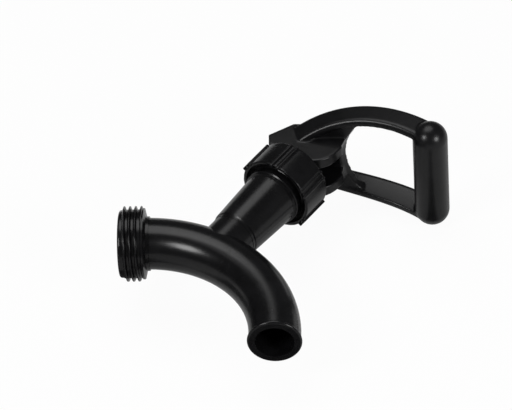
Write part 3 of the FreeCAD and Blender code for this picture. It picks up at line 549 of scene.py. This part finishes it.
        # Painted shadow: each card glows faintly dark and shows only in the shine of the plastic.
        glow = add_node(tree, "ShaderNodeEmission", {"Strength": PAINTED_SHADOW_GLOW})
        add_node(tree, "ShaderNodeOutputMaterial", None, {"Surface": glow.outputs["Emission"]})
        for name, across, along, width, length in PAINTED_SHADOW_CARDS:
            deselect()
            bpy.ops.mesh.primitive_plane_add(size=1.0, location=(across * MM, CARD_PLACE * MM, along * MM),
                                             rotation=(math.pi / 2, 0, 0))
            card = bpy.context.object
            card.name = name
            card.scale = (width * MM, length * MM, 1.0)
            settle(card)
            card.data.materials.append(material)
            self.only_in_shine(card)

    def lights(self, scene):
        """Round soft boxes, which point at the middle of the stage."""
        for name, towards, far, size, power in LAMPS:
            direction = (CAMERA_RIGHT * towards[0] + CAMERA_UP * towards[1] + CAMERA_BACK * towards[2])
            direction.normalize()
            data = bpy.data.lights.new(name, "AREA")
            data.shape = "DISK"
            data.size = size
            data.energy = power
            lamp = bpy.data.objects.new(name, data)
            lamp.location = STAGE_MIDDLE + direction * far
            lamp.rotation_euler = direction.to_track_quat("Z", "Y").to_euler()
            scene.collection.objects.link(lamp)

    def camera(self, scene):
        """The camera of the photograph."""
        data = bpy.data.cameras.new("camera")
        data.sensor_width = 36.0
        data.lens = CAMERA_LENS
        data.clip_end = 20.0
        camera = bpy.data.objects.new("camera", data)
        camera.matrix_world = Matrix.Translation(CAMERA_PLACE * MM) @ Matrix(
            (CAMERA_RIGHT, CAMERA_UP, CAMERA_BACK)).transposed().to_4x4()
        scene.collection.objects.link(camera)
        scene.camera = camera


# Where the photograph was taken from, in millimetres in the faucet's frame.
CAMERA_PLACE = Vector((177.948, -1382.424, -1447.765))
CAMERA_RIGHT = Vector((0.99803493, 0.05283619, 0.03368419))
CAMERA_UP = Vector((0.01547231, -0.72872627, 0.68463029))
CAMERA_BACK = Vector((0.06071981, -0.68276377, -0.72811176))
CAMERA_LENS = 288.2
WHITE = (1.0, 1.0, 1.0, 1.0)
# The middle of the stage and the table's side in metres; the table and the painted shadow cards on it in Y, in
# millimetres.
STAGE_MIDDLE = Vector((0.07, 0.0, 0.0))
TABLE_SIDE = 6.0
TABLE_PLACE = 33.5
CARD_PLACE = 33.0
# The faint glow of the painted shadow cards, which stand for the parts' shadow on the table in reflections.
PAINTED_SHADOW_GLOW = 0.08
# The share of plain white in the table, as the camera and as a shine sees it, and the light of the room.
TABLE_WHITE = (0.95, 0.2)
ROOM_LIGHT = 0.35
# The tent over the table, a glowing dome seen only in reflections: radius in metres, and its painted reflection shade,
# dark up to the left and light down to the right.
TENT_RADIUS = 1.9
PAINTED_REFLECTION_SHADES = (0.06, 0.2)
# Dark cards on the table, painted shadow that the plastic reflects where the parts shade the table: name, middle in X
# and Z, width and length, in millimetres.
PAINTED_SHADOW_CARDS = (
    ("painted shadow by the grip", 141.0, -2.0, 18.0, 76.0),
    ("painted shadow by the mouth", 66.0, -103.0, 44.0, 60.0),
    ("painted shadow in the bend", 14.0, -72.0, 46.0, 60.0),
    ("painted shadow by the collar", -60.0, 0.0, 110.0, 76.0),
)
# Lamps: name, direction in the camera's right, up and back, distance and size in metres, watts.
LAMPS = (
    ("left box", (-0.63, 0.13, 0.77), 1.1, 0.38, 7.5),
    ("right box", (0.68, -0.03, 0.73), 1.1, 0.42, 8.0),
    ("upper box", (-0.12, 0.92, 0.37), 1.3, 1.0, 8.5),
    ("upper left box", (-0.45, 0.80, 0.40), 1.2, 0.6, 0.9),
)


class FAUCET_PT_panel(bpy.types.Panel):
    """Lists the faucet's pieces and its stage."""
    bl_label = "Beverage faucet"
    bl_idname = "FAUCET_PT_panel"
    bl_space_type = "VIEW_3D"
    bl_region_type = "UI"
    bl_category = "Faucet"

    def draw(self, context):
        for name in ("thread_crest", "thread_pitch", "moulded_colour", "bush_colour", "stem_colour",
                     "silicone_colour", "nitrile_colour", "steel_colour", "wire_colour"):
            self.layout.prop(context.scene.faucet_finish, name)
        for operator in OPERATORS:
            self.layout.operator(operator.bl_idname)


OPERATORS = (
    FAUCET_OT_dress_nodes,
    FAUCET_OT_collar_thread,
    FAUCET_OT_handle_skin,
    FAUCET_OT_nut_skin,
    FAUCET_OT_spring_coil,
    FAUCET_OT_stage,
)
CLASSES = (FaucetFinish,) + OPERATORS + (FAUCET_PT_panel,)


def register():
    for cls in CLASSES:
        bpy.utils.register_class(cls)
    bpy.types.Scene.faucet_finish = bpy.props.PointerProperty(type=FaucetFinish)


def unregister():
    del bpy.types.Scene.faucet_finish
    for cls in reversed(CLASSES):
        bpy.utils.unregister_class(cls)


def main():
    """Makes every piece and the stage."""
    register()
    bpy.ops.faucet.dress_nodes()
    bpy.ops.faucet.collar_thread()
    bpy.ops.faucet.handle_skin()
    bpy.ops.faucet.nut_skin()
    bpy.ops.faucet.spring_coil()
    bpy.ops.faucet.stage()


if __name__ == "__main__":
    main()
